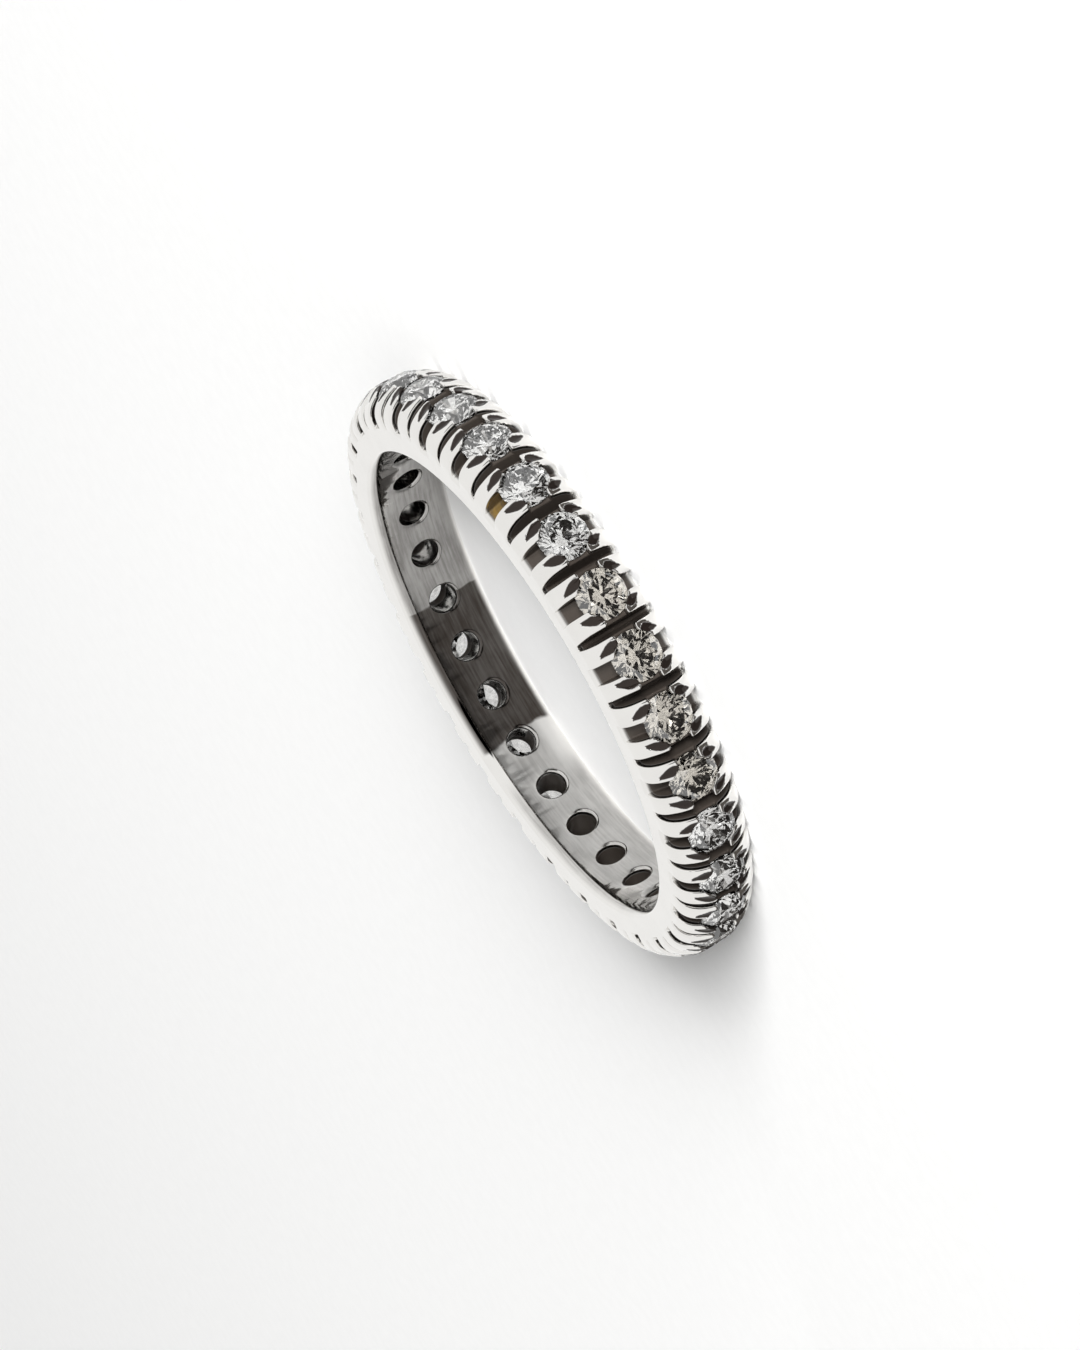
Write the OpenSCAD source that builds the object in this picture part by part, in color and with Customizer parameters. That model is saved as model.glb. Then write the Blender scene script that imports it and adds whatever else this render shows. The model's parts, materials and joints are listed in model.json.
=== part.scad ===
// Full eternity ring in polished white gold, lying on one side face.
// A row of round brilliants runs all the way round. Each stone sits in a seat cut into the
// band and is held by four claws, which saw cuts between the stones and notches beside them
// leave standing. Millimetres, +Z up, the finger hole's axis on Z, the lower side face on Z = 0.

/* [Band] */
// Inside diameter, the finger size
finger_d = 16.9; // [15.3:0.1:19]
// Width of the band, from side face to side face
band_w = 2.8; // [2.5:0.1:3.6]
// Solid metal between the finger hole and the floor of the saw cuts
shank_t = 1.05; // [0.9:0.05:1.5]
// How far the crown of the band stands above the tables of the stones
crown_rise = 0.05; // [0:0.01:0.12]
// Depth of the domed part, from the crown down to the straight side face
dome_t = 1; // [0.9:0.05:1.2]
// Radius of the rounded shoulders beside the crown
shoulder_r = 0.8; // [0.6:0.05:0.85]
// Width of the eased inner edge, along the finger hole
ease_w = 0.42; // [0.2:0.02:0.6]
// Depth of the eased inner edge, into the side face
ease_t = 0.18; // [0.1:0.02:0.3]

/* [Stones] */
// How many stones go round the band
stone_count = 29; // [26:1:31]
// Diameter of a stone at its girdle
stone_d = 1.7; // [1.5:0.05:1.85]
// Table across its corners, as a share of the stone's diameter
table_share = 0.57; // [0.53:0.01:0.62]
// Crown height, as a share of the stone's diameter
crown_share = 0.15; // [0.13:0.01:0.17]
// Girdle thickness, as a share of the stone's diameter
girdle_share = 0.035; // [0.03:0.005:0.06]
// Slope of the pavilion mains, in degrees
pavilion_slope = 40.75; // [39.5:0.25:42]
// Slope of the star facets, in degrees
star_slope = 21.5; // [19:0.5:25]
// Reach of the lower halves from the girdle towards the culet, as a share
lower_half_share = 0.77; // [0.7:0.01:0.85]
// Width of the small flat that blunts the culet
culet_w = 0.02; // [0.01:0.01:0.06]

/* [Setting] */
// Gap all round between a stone and its seat
seat_gap = 0.03; // [0.02:0.005:0.05]
// Height of the culets above the floor of the saw cuts
culet_rise = 0.02; // [0:0.01:0.15]
// How far the claw tips reach in over the edge of a stone
claw_reach = 0.08; // [0.05:0.01:0.14]
// Metal left between a stone's seat and the saw cut beside it
seat_rim = 0.06; // [0.03:0.01:0.08]
// Width of a saw cut's floor, as a share of its width at the girdles
saw_floor_share = 0.55; // [0.4:0.05:1]
// Width of the gap between the two claw tips beside a saw cut
claw_gap = 0.76; // [0.5:0.02:0.9]
// Width of the notch in the side face beside each stone
notch_w = 0.56; // [0.4:0.02:0.7]
// Metal left between a notch and the drilled hole
notch_wall = 0.15; // [0.1:0.01:0.25]
// How far a notch's floor rises at its inner end above the floor of the saw cuts
notch_rise = 0.25; // [0.1:0.05:0.35]
// How far a notch's floor dips at the side face below the floor of the saw cuts
notch_dip = 0.12; // [0:0.02:0.3]
// Diameter of the hole drilled from the finger hole to each seat
hole_d = 0.95; // [0.7:0.05:1.1]

/* [Hidden] */
half_w = band_w / 2;
finger_r = finger_d / 2;
pitch = 360 / stone_count;

// Stone, from the table down, with its axis on Z
stone_r = stone_d / 2;
table_r = stone_r * table_share;
crown_h = stone_d * crown_share;
girdle_h = stone_d * girdle_share;
pavilion_h = stone_r * tan(pavilion_slope);
stone_h = crown_h + girdle_h + pavilion_h;

// Facets meet at the girdle every 22.5 degrees, so a half facet's chord is this far out
facets = 8;
half_turn = 180 / facets;
chord_r = stone_r * cos(half_turn / 2);
crown_slope = atan(crown_h / (stone_r - table_r));
star_r = table_r * cos(half_turn);
star_tip_r = (table_r * tan(crown_slope) - star_r * tan(star_slope))
    / (cos(half_turn) * tan(crown_slope) - tan(star_slope));
star_tip_h = (star_tip_r - star_r) * tan(star_slope);
upper_slope = atan((crown_h - star_tip_h) / (chord_r - star_tip_r * cos(half_turn / 2)));
lower_tip_r = stone_r * (1 - lower_half_share);
lower_tip_h = lower_tip_r * cos(half_turn) * tan(pavilion_slope);
lower_slope = atan((pavilion_h - lower_tip_h) / (chord_r - lower_tip_r * cos(half_turn / 2)));
culet_h = culet_w / 2 * tan(pavilion_slope);

// Distances from the finger hole's axis
floor_at = finger_r + shank_t;
culet_at = floor_at + culet_rise;
girdle_at = culet_at + pavilion_h;
crown_at = girdle_at + girdle_h;
table_at = culet_at + stone_h;
top_at = table_at + crown_rise;
side_at = top_at - dome_t;

// The saw cut takes what the seats of the two stones beside it and their rims leave
saw_w = 2 * PI * girdle_at / stone_count - stone_d - 2 * (seat_gap + seat_rim);
saw_floor_w = saw_w * saw_floor_share;
notch_in = hole_d / 2 + notch_wall;

// Arcs of the section: the dome meets each shoulder smoothly
shoulder = min(shoulder_r, 0.9 * dome_t, 0.9 * half_w);
shoulder_z = half_w - shoulder;
dome_r = (dome_t^2 + shoulder_z^2 - shoulder^2) / (2 * (dome_t - shoulder));
ease_r = (ease_w^2 + ease_t^2) / (2 * ease_t);

over = 1;
$fn = 96;

function two_digits(n) = str(n < 10 ? "0" : "", n);

// Turns a child's +Z outward from the finger hole's axis, at an angle round the band
module outward(angle) {
    translate([0, 0, half_w])
        rotate([0, 0, angle])
            rotate([0, 90, 0])
                children();
}

// Half of the band's section, the other half being its mirror: X is the distance from the axis
module half_section() {
    intersection() {
        union() {
            translate([finger_r, 0])
                square([side_at - finger_r, half_w - ease_w]);
            translate([finger_r + ease_r, 0])
                square([side_at - finger_r - ease_r, half_w]);
            translate([finger_r + ease_r, half_w - ease_w])
                circle(r = ease_r);
            translate([side_at, shoulder_z])
                circle(r = shoulder);
            dome_wedge();
        }
        translate([finger_r - over, 0])
            square([top_at - finger_r + 2 * over, half_w]);
    }
}

// The part of the dome's disc between the middle and the point where the shoulder takes over
module dome_wedge() {
    centre = top_at - dome_r;
    ray = 2 * dome_r;
    aim = atan2(shoulder_z, side_at - centre);
    intersection() {
        translate([centre, 0])
            circle(r = dome_r);
        polygon([[side_at, 0], [centre + ray, 0], [centre + ray * cos(aim), ray * sin(aim)],
            [side_at, shoulder_z]]);
    }
}

module band_blank() {
    translate([0, 0, half_w])
        rotate_extrude()
            union() {
                half_section();
                mirror([0, 1])
                    half_section();
            }
}

// Room for a stone: its outline with the gap, open above between the claw tips
module seat_cut() {
    wide = stone_r + seat_gap;
    tip = stone_r - claw_reach;
    rotate_extrude()
        polygon([
            [0, culet_at - seat_gap * tan(pavilion_slope)],
            [wide, girdle_at],
            [wide, crown_at],
            [tip, crown_at + (wide - tip) * tan(crown_slope)],
            [tip, top_at + over],
            [0, top_at + over]]);
    translate([0, 0, finger_r - over])
        cylinder(d = hole_d, h = girdle_at - finger_r + over);
}

// Cuts right across the band between two stones, narrower below their girdles
module saw_cut() {
    translate([-half_w - over, 0, 0])
        rotate([90, 0, 90])
            linear_extrude(band_w + 2 * over)
                polygon([
                    [-saw_floor_w / 2, floor_at],
                    [saw_floor_w / 2, floor_at],
                    [saw_w / 2, girdle_at],
                    [saw_w / 2, top_at + over],
                    [-saw_w / 2, top_at + over],
                    [-saw_w / 2, girdle_at]]);
}

// Clears the metal above the girdle between the claw tips, from saw cut to saw cut
module tip_cut() {
    translate([-claw_gap / 2, -stone_r - saw_w / 2, girdle_at])
        cube([claw_gap, stone_d + saw_w, top_at - girdle_at + over]);
}

// A slot in one side face, whose floor slopes down to the outside
module notch_cut() {
    rotate([90, 0, 0])
        linear_extrude(notch_w, center = true)
            polygon([
                [notch_in, floor_at + notch_rise],
                [half_w, floor_at - notch_dip],
                [half_w + over, floor_at - notch_dip],
                [half_w + over, top_at + over],
                [notch_in, top_at + over]]);
}

module band() {
    color("gainsboro")
        difference() {
            band_blank();
            for (i = [0:stone_count - 1])
                outward(i * pitch) {
                    seat_cut();
                    tip_cut();
                    notch_cut();
                    mirror([1, 0, 0])
                        notch_cut();
                }
            for (i = [0:stone_count - 1])
                outward((i + 0.5) * pitch)
                    saw_cut();
        }
}

// What a ring of flats leaves: each slopes down from the middle and passes the point at
// distance reach and height level, on the crown side or, turned over, on the pavilion side
module facet_ring(count, start, slope, reach, level, under = false) {
    size = 4 * stone_d;
    intersection_for (k = [0:count - 1])
        rotate([0, 0, start + k * 360 / count])
            translate([reach, 0, level])
                rotate([0, under ? 180 - slope : slope, 0])
                    translate([-size / 2, -size / 2, -size])
                        cube(size);
}

// Sixteen half facets, in pairs on both sides of each main
module half_facets(slope, level, under = false) {
    aside = half_turn / 2;
    intersection() {
        facet_ring(facets, aside, slope, chord_r, level, under);
        facet_ring(facets, -aside, slope, chord_r, level, under);
    }
}

// Round brilliant with its table at Z = 0, facing up
module brilliant() {
    culet = -stone_h;
    intersection() {
        translate([0, 0, culet + culet_h])
            cylinder(d = stone_d, h = stone_h - culet_h);
        facet_ring(facets, 0, crown_slope, table_r, 0);
        facet_ring(facets, half_turn, star_slope, star_r, 0);
        half_facets(upper_slope, -crown_h);
        facet_ring(facets, 0, pavilion_slope, 0, culet, under = true);
        half_facets(lower_slope, -crown_h - girdle_h, under = true);
    }
}

module stone(i) {
    color("aliceblue")
        outward((i - 1) * pitch)
            translate([0, 0, table_at])
                brilliant();
}

band();
for (i = [1:stone_count])
    stone(i);
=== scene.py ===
"""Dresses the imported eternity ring: polished white gold cut into claws, round brilliants
in their seats, and a pale studio with the camera at the photograph's angle."""

import json
import math

import bpy
import numpy as np
from bpy.props import FloatProperty, FloatVectorProperty, IntProperty, PointerProperty
from mathutils import Matrix, Vector


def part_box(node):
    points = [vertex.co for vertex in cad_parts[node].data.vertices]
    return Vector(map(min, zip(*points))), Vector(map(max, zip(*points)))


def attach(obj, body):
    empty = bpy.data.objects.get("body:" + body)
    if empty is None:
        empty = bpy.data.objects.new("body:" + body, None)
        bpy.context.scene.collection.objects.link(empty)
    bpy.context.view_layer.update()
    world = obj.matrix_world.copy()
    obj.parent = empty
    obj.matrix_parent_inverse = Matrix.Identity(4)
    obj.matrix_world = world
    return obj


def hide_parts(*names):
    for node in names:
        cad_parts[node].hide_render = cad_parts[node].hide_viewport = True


bl_info = {
    "name": "Eternity ring",
    "version": (1, 0, 0),
    "blender": (4, 5, 0),
    "location": "3D View > Sidebar > Eternity ring",
    "description": "Models the claw-cut band, the brilliants and the studio round the packed ring",
    "category": "Add Mesh",
}

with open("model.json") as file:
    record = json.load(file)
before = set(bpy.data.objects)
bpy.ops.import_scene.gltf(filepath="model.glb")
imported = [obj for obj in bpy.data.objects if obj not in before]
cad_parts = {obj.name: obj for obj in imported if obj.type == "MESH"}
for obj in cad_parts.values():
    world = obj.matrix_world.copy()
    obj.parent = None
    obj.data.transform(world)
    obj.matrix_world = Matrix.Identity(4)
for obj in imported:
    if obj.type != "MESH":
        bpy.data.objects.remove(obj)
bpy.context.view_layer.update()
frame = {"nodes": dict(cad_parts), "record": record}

MM = 0.001
TURN = 2 * math.pi

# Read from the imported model
STONE_NODES = sorted(name for name in frame["nodes"] if name.startswith("stone_"))
STONE_COUNT = len(STONE_NODES)
PITCH = TURN / STONE_COUNT
FINGER_RADIUS = next(
    mount["dims"]["r_mm"] for mount in frame["record"]["mounts"] if mount["name"] == "finger_hole"
) * MM
BAND_LOW, BAND_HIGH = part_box("band")
HALF_WIDTH = (BAND_HIGH[2] - BAND_LOW[2]) / 2
MIDDLE = (BAND_HIGH[2] + BAND_LOW[2]) / 2
FIRST_LOW, FIRST_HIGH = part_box(STONE_NODES[0])
STONE_RADIUS = (FIRST_HIGH[1] - FIRST_LOW[1]) / 2
CULET_AT, TABLE_AT = FIRST_LOW[0], FIRST_HIGH[0]

CHAMPAGNE_NODES = {"stone_20", "stone_21", "stone_22", "stone_23"}

WIDTH_PX, HEIGHT_PX = 1080, 1350

# How widely the eased edges run into the side faces, the floors of the cuts into their
# walls, and the seats into the metal round them
EASE_ROUND, FLOOR_ROUND, SEAT_ROUND = 0.04 * MM, 0.08 * MM, 0.03 * MM

# Below this, a length counts as none
TINY = 1e-12


# Sizes and colours


def size(name, description, millimetres):
    """A length that a user may change."""
    return FloatProperty(
        name=name, description=description, default=millimetres * MM, unit="LENGTH"
    )


def angle_of(name, description, degrees):
    """An angle that a user may change."""
    return FloatProperty(
        name=name, description=description, default=math.radians(degrees), subtype="ANGLE"
    )


def number(name, description, value):
    """A share or another plain number that a user may change."""
    return FloatProperty(name=name, description=description, default=value)


def tint(name, description, red, green, blue):
    """A colour that a user may change."""
    return FloatVectorProperty(
        name=name, description=description, subtype="COLOR", size=3, default=(red, green, blue)
    )


class BandSizes(bpy.types.PropertyGroup):
    """Sizes of the cut and polished band."""

    crown_rise: size("Crown rise", "How far the crown of the band stands above the tables", 0.05)
    dome_depth: size(
        "Dome depth", "Depth of the domed part, from the crown to the straight side face", 1.0
    )
    shoulder_radius: size("Shoulder radius", "Radius of the rounded shoulders beside the crown", 0.8)
    ease_width: size("Eased edge width", "Width of the eased inner edge, along the finger hole", 0.42)
    ease_depth: size("Eased edge depth", "Depth of the eased inner edge, into the side face", 0.18)
    culet_rise: size("Culet rise", "Height of the culets above the floor of the saw cuts", 0.02)
    saw_width: size(
        "Saw cut width", "Width of the cut between two stones, at their girdles and above", 0.34
    )
    saw_taper: size(
        "Saw cut taper", "How far each wall of a saw cut leans in on the way down to the floor", 0.08
    )
    seat_gap: size("Seat gap", "Gap between a stone and its seat", 0.03)
    claw_reach: size("Claw reach", "How far the claw tips reach in over the edge of a stone", 0.08)
    claw_gap: size("Claw gap", "Width of the gap between the two claw tips beside a saw cut", 0.76)
    notch_width: size("Notch width", "Width of the notch in the side face beside each stone", 0.56)
    notch_wall: size("Notch wall", "Metal left between a notch and the drilled hole", 0.15)
    notch_rise: size(
        "Notch rise",
        "Height of a notch's floor at its inner end above the floor of the saw cuts",
        0.25,
    )
    notch_dip: size(
        "Notch dip", "Depth of a notch's floor at the side face below the floor of the saw cuts", 0.12
    )
    hole_radius: size("Hole radius", "Radius of the hole drilled to each seat", 0.475)
    hole_round: size("Hole rounding", "How widely the mouths of the drilled holes are rounded", 0.15)
    claw_round: size(
        "Claw rounding", "How widely the polish rounds the edges of the claws at the crown", 0.13
    )
    cut_round: size(
        "Cut rounding", "How widely the polish rounds the edges of the cuts near their floors", 0.07
    )
    tip_round: size("Tip rounding", "How widely the claw tips are rounded over the stones", 0.08)
    hollow_aside: size(
        "Hollow aside", "From a stone's middle to the graver's hollow in a claw, round the band", 0.61
    )
    hollow_across: size(
        "Hollow across",
        "From a stone's middle to the graver's hollow in a claw, across the band",
        0.76,
    )
    hollow_turn: angle_of("Hollow turn", "How far a hollow's outer end leans towards the notch", 20)
    hollow_length: size(
        "Hollow length", "Length of the hollow in the top of a claw on the upper side", 0.94
    )
    low_hollow_length: size(
        "Lower hollow length", "Length of the hollow in the top of a claw on the lower side", 0.6
    )
    hollow_point: number(
        "Hollow point", "How pointed the upper hollows are: 1 is a leaf, 0.5 an oval", 1.0
    )
    low_hollow_point: number(
        "Lower hollow point", "How pointed the lower hollows are: 1 is a leaf, 0.5 an oval", 0.5
    )
    hollow_width: size("Hollow width", "Width of the hollow at its middle", 0.34)
    hollow_taper: number(
        "Hollow taper", "How much narrower a hollow is outside than beside the stone, as a share", 0.5
    )
    hollow_depth: size("Hollow depth", "Depth of the hollow at its middle", 0.045)
    hand_play: size("Hand play", "How far hand-cut edges wander from their places", 0.034)
    # The dark stretch is a painted dark reflection on the wall of the finger hole
    dark_stretch_from: angle_of(
        "Worn stretch start", "Where the dark stretch of the finger hole starts, round the band", 61.5
    )
    dark_stretch_to: angle_of(
        "Worn stretch end", "Where the dark stretch of the finger hole ends, round the band", 97.5
    )
    stain_at: angle_of("Stain", "Where the notch with the amber stain is, round the band", -62.1)
    grain: size("Grain", "Spacing of the grid that the band is modelled on", 0.045)
    most_triangles: IntProperty(
        name="Most triangles",
        description="How many triangles the band may have",
        default=190000,
    )
    seed: IntProperty(name="Seed", description="Seed of the hand-cut variation", default=7)


class StoneSizes(bpy.types.PropertyGroup):
    """Proportions of the round brilliants."""

    table_share: number("Table", "Table across its corners, as a share of the diameter", 0.57)
    crown_share: number("Crown", "Crown height, as a share of the diameter", 0.15)
    girdle_share: number("Girdle", "Girdle thickness, as a share of the diameter", 0.035)
    star_slope: angle_of("Star slope", "Slope of the star facets", 21.5)
    lower_half_share: number(
        "Lower halves", "Reach of the lower halves from the girdle towards the culet, as a share", 0.77
    )
    culet_radius: size("Culet radius", "Radius of the small flat that blunts the culet", 0.01)
    tilt: angle_of("Tilt", "Most that a stone leans in its seat", 0.7)
    seed: IntProperty(name="Seed", description="Seed of the stones' turns and leans", default=11)


class FinishColours(bpy.types.PropertyGroup):
    """Colours of the metal, the stones and the studio."""

    white_gold: tint("White gold", "Polished white gold", 0.835, 0.825, 0.805)
    # Colour of the finger hole's wall film: a thin tarnish, and on the dark stretch a painted dark
    # reflection
    wall_tarnish_and_reflection: tint("Tarnish", "Dark film on the wall of the finger hole", 0.046, 0.037, 0.031)
    # Colour of the floors of the cuts: dirt and painted shade
    cut_dirt_and_shade: tint("Dirt", "Old polish and dirt on the floors of the cuts", 0.034, 0.028, 0.0235)
    amber: tint("Amber", "Stain in one of the notches", 0.125, 0.079, 0.021)
    # Colour of the claws' hollows: a painted dark reflection
    hollow_painted_reflection: tint("Hollow", "Blackened metal in the hollows of the claws", 0.018, 0.014, 0.012)
    clear_stone: tint("Clear stone", "Body colour of the clear diamonds", 1.0, 0.997, 0.985)
    champagne_stone: tint("Champagne stone", "Body colour of the brownish diamonds", 0.79, 0.745, 0.67)
    floor_white: tint("Floor", "Pale studio floor", 0.92, 0.92, 0.915)
    tent_white: tint("Tent", "White light of the tent", 1.0, 0.995, 0.985)
    paper_black: tint("Card", "Black paper of the dark card", 0.06, 0.055, 0.05)
    paper_fibre: tint("Card fibre", "Faint fibre in the black paper", 0.09, 0.08, 0.072)


class StudioSetup(bpy.types.PropertyGroup):
    """The camera and the soft light round the ring."""

    view_azimuth: angle_of("View azimuth", "Direction from the ring to the camera, from +X", -92.73)
    view_elevation: angle_of("View elevation", "Height of the camera above the ring's plane", 14.3)
    view_roll: angle_of("View roll", "Turn of the camera about its own axis", -120.2)
    distance: size("Distance", "From the camera to the middle of the ring", 324)
    focal_px: number("Focal length", "Focal length in pixels of the photograph", 10014)
    centre_x_px: number("Ring centre X", "Where the ring's centre shows", 548)
    centre_y_px: number("Ring centre Y", "Where the ring's centre shows", 664)
    tent_strength: number("Tent strength", "Brightness of the white tent", 0.97)
    tent_on_floor: number(
        "Tent on the floor", "Share of the tent's light that reaches matt surfaces", 0.2
    )
    light_distance: size("Light distance", "From both lights to the middle of the ring", 1500)
    key_aside: angle_of("Key aside", "From the camera to the soft key light, round the ring", 15)
    key_elevation: angle_of("Key elevation", "Height of the key light", 8.5)
    key_size: size("Key size", "Side of the key light", 750)
    key_power: number("Key power", "Power of the key light in watts", 118.0)
    fill_aside: angle_of("Fill aside", "From the camera to the fill light, round the ring", -20)
    fill_elevation: angle_of("Fill elevation", "Height of the fill light", 25)
    fill_size: size("Fill size", "Side of the fill light", 1350)
    fill_power: number("Fill power", "Power of the fill light in watts", 9.0)
    card_from: size(
        "Card from", "Inner radius of the dark card that lies round the front of the ring", 10.68
    )
    card_to: size("Card to", "Outer radius of the dark card", 200)
    card_height: size("Card height", "How far the dark card lies above the floor", 0.05)
    card_start: angle_of("Card start", "Where the card starts, round the ring from the camera", -130)
    card_end: angle_of("Card end", "Where the card ends, round the ring from the camera", 35)
    opening_aside: angle_of(
        "Opening aside",
        "From the camera to the middle of the dark opening in the tent, round the ring",
        8,
    )
    opening_elevation: angle_of("Opening elevation", "Height of the middle of the dark opening", 10)
    opening_radius: angle_of("Opening radius", "Angular radius of the dark opening", 15)
    opening_in_stones: angle_of(
        "Opening in the stones", "Angular radius of the dark opening as the stones show it", 36
    )


class RingSettings(bpy.types.PropertyGroup):
    """Everything that a user would change."""

    band: PointerProperty(type=BandSizes)
    stones: PointerProperty(type=StoneSizes)
    colours: PointerProperty(type=FinishColours)
    studio: PointerProperty(type=StudioSetup)


# The band as a distance field


def soft_max(a, b, width):
    """The larger of two distances, blended where they are closer than width."""
    blend = np.maximum(width - np.abs(a - b), 0) / width
    return np.maximum(a, b) + blend * blend * width / 4


def ramp(value, low, high):
    """0 below low, 1 above high and smooth in between."""
    share = np.clip((value - low) / (high - low), 0, 1)
    return share * share * (3 - 2 * share)


class BandForm:
    """Signed distance to the band: its section turned round the axis, less the cuts."""

    def __init__(self, sizes, stones):
        self.sizes = sizes
        self.crown_slope = math.atan(stones.crown_share * 2 / (1 - stones.table_share))
        self.pavilion_slope = math.atan(
            (TABLE_AT - CULET_AT - 2 * STONE_RADIUS * (stones.crown_share + stones.girdle_share))
            / STONE_RADIUS
        )
        self.floor = CULET_AT - sizes.culet_rise
        self.crown_at = TABLE_AT - 2 * STONE_RADIUS * stones.crown_share
        self.girdle_at = self.crown_at - 2 * STONE_RADIUS * stones.girdle_share
        self.top = TABLE_AT + sizes.crown_rise
        self.side_at = self.top - sizes.dome_depth
        self.shoulder_z = HALF_WIDTH - sizes.shoulder_radius
        self.dome_radius = (
            sizes.dome_depth**2 + self.shoulder_z**2 - sizes.shoulder_radius**2
        ) / (2 * (sizes.dome_depth - sizes.shoulder_radius))
        self.dome_at = self.top - self.dome_radius
        self.ease_radius = (sizes.ease_width**2 + sizes.ease_depth**2) / (2 * sizes.ease_depth)
        self.notch_in = sizes.hole_radius + sizes.notch_wall
        self.wander(np.random.default_rng(sizes.seed), sizes.hand_play)

    def wander(self, hand, play):
        """Draws how far each cut strays from its place. A saw cut stays near its middle and
        widens less than it narrows, which spares the rims of the seats. Its floor rises less
        than it sinks."""
        least, most, middle, tips = -1, 0.6, 0.6, 1.6
        pairs = (STONE_COUNT, 2)
        self.saw_shift = hand.uniform(-middle, middle, STONE_COUNT) * play
        self.saw_lean = hand.uniform(-1, 1, STONE_COUNT) * play / HALF_WIDTH
        self.saw_widen = hand.uniform(least, most, STONE_COUNT) * play
        self.saw_lift = hand.uniform(least, most, STONE_COUNT) * play
        self.notch_shift = hand.uniform(-1, 1, pairs) * play
        self.notch_widen = hand.uniform(-1, 1, pairs) * play
        self.notch_lift = hand.uniform(-1, 1, pairs) * play
        self.tip_trim = hand.uniform(-1, 1, pairs) * play * tips

    def section(self, radius, height):
        """The blank before any cut: domed outside, rounded shoulders, eased inner edges."""
        sizes = self.sizes
        across = np.abs(height)
        ease_r = FINGER_RADIUS + self.ease_radius
        ease_z = HALF_WIDTH - sizes.ease_width
        eased = np.hypot(radius - ease_r, across - ease_z) - self.ease_radius
        inner = np.where((across > ease_z) & (radius < ease_r), eased, FINGER_RADIUS - radius)
        dome = np.hypot(radius - self.dome_at, height) - self.dome_radius
        shoulder = (
            np.hypot(radius - self.side_at, across - self.shoulder_z) - sizes.shoulder_radius
        )
        side = np.where(radius > self.side_at, shoulder, across - HALF_WIDTH)
        under_dome = (
            across * (self.side_at - self.dome_at) < (radius - self.dome_at) * self.shoulder_z
        )
        return soft_max(inner, np.where(under_dome, dome, side), EASE_ROUND)

    def hollow(self, aside, height):
        """How far a point lies inside the graver's hollow in the top of a claw: a long drop
        that is widest beside the stone on the upper side, a short blunt one on the lower."""
        sizes = self.sizes
        cos, sin = math.cos(sizes.hollow_turn), math.sin(sizes.hollow_turn)
        length = np.where(height > 0, sizes.hollow_length, sizes.low_hollow_length)
        point = np.where(height > 0, sizes.hollow_point, sizes.low_hollow_point)
        aside, across = aside - sizes.hollow_aside, np.abs(height) - sizes.hollow_across
        along = (cos * across - sin * aside) / (length / 2)
        beside = np.abs(cos * aside + sin * across)
        width = np.maximum(1 - along * along, 0) ** point * sizes.hollow_width / 2
        return width * (1 - sizes.hollow_taper * along) - beside

    def saw(self, radius, angle, height):
        """Distance to the saw cut between two stones, negative in the cut."""
        sizes = self.sizes
        gap = np.floor(angle / PITCH)
        aside = angle - (gap + 0.5) * PITCH
        out, along = radius * np.cos(aside), radius * np.sin(aside)
        gap = gap.astype(int) % STONE_COUNT
        along = along - self.saw_shift[gap] - self.saw_lean[gap] * height
        below = np.clip((self.girdle_at - out) / (self.girdle_at - self.floor), 0, 1)
        half_saw = (sizes.saw_width + self.saw_widen[gap]) / 2 - sizes.saw_taper * below
        return soft_max(
            np.abs(along) - half_saw, self.floor + self.saw_lift[gap] - out, FLOOR_ROUND
        )

    def notch(self, stone, out, along, height):
        """Distance to the notch beside a stone, negative in the notch."""
        sizes = self.sizes
        across, side = np.abs(height), (height > 0).astype(int)
        steep = (sizes.notch_rise + sizes.notch_dip) / (HALF_WIDTH - self.notch_in)
        lowest = self.floor - sizes.notch_dip + self.notch_lift[stone, side]
        above = (lowest + steep * (HALF_WIDTH - across) - out) / math.hypot(1, steep)
        beside = (
            np.abs(along - self.notch_shift[stone, side])
            - (sizes.notch_width + self.notch_widen[stone, side]) / 2
        )
        return np.maximum(soft_max(beside, above, FLOOR_ROUND), self.notch_in - across)

    def seat(self, out, from_axis):
        """Distance to the room for a stone, up to the claw tips that close over its edge."""
        seat_radius = STONE_RADIUS + self.sizes.seat_gap
        pavilion = (from_axis - self.sizes.seat_gap) * math.sin(self.pavilion_slope) - (
            out - CULET_AT
        ) * math.cos(self.pavilion_slope)
        crown = (from_axis - seat_radius) * math.sin(self.crown_slope) + (
            out - self.crown_at
        ) * math.cos(self.crown_slope)
        return np.maximum(np.maximum(from_axis - seat_radius, pavilion), crown)

    def distance(self, points):
        """Distance from each point to the finished band, negative in the metal."""
        sizes = self.sizes
        x, y, height = points[..., 0], points[..., 1], points[..., 2] - MIDDLE
        radius, angle = np.hypot(x, y), np.arctan2(y, x)
        stone = np.round(angle / PITCH)
        aside = angle - stone * PITCH
        out, along = radius * np.cos(aside), radius * np.sin(aside)
        stone = stone.astype(int) % STONE_COUNT
        side = (height > 0).astype(int)
        from_axis = np.hypot(along, height)

        hollow = np.clip(2 * self.hollow(np.abs(along), height) / sizes.hollow_width, 0, 1)
        hollow = np.where(radius > self.girdle_at, hollow * (2 - hollow), 0)
        solid = self.section(radius, height) + sizes.hollow_depth * hollow
        rounding = sizes.cut_round + (sizes.claw_round - sizes.cut_round) * ramp(
            radius, self.floor, self.crown_at
        )
        tip_radius = STONE_RADIUS - sizes.claw_reach + self.tip_trim[stone, side]
        mouth = np.maximum(from_axis - tip_radius, self.girdle_at - out)
        between_tips = np.maximum(np.abs(height) - sizes.claw_gap / 2, self.girdle_at - out)
        hole = np.maximum(from_axis - sizes.hole_radius, out - self.girdle_at)

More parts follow.
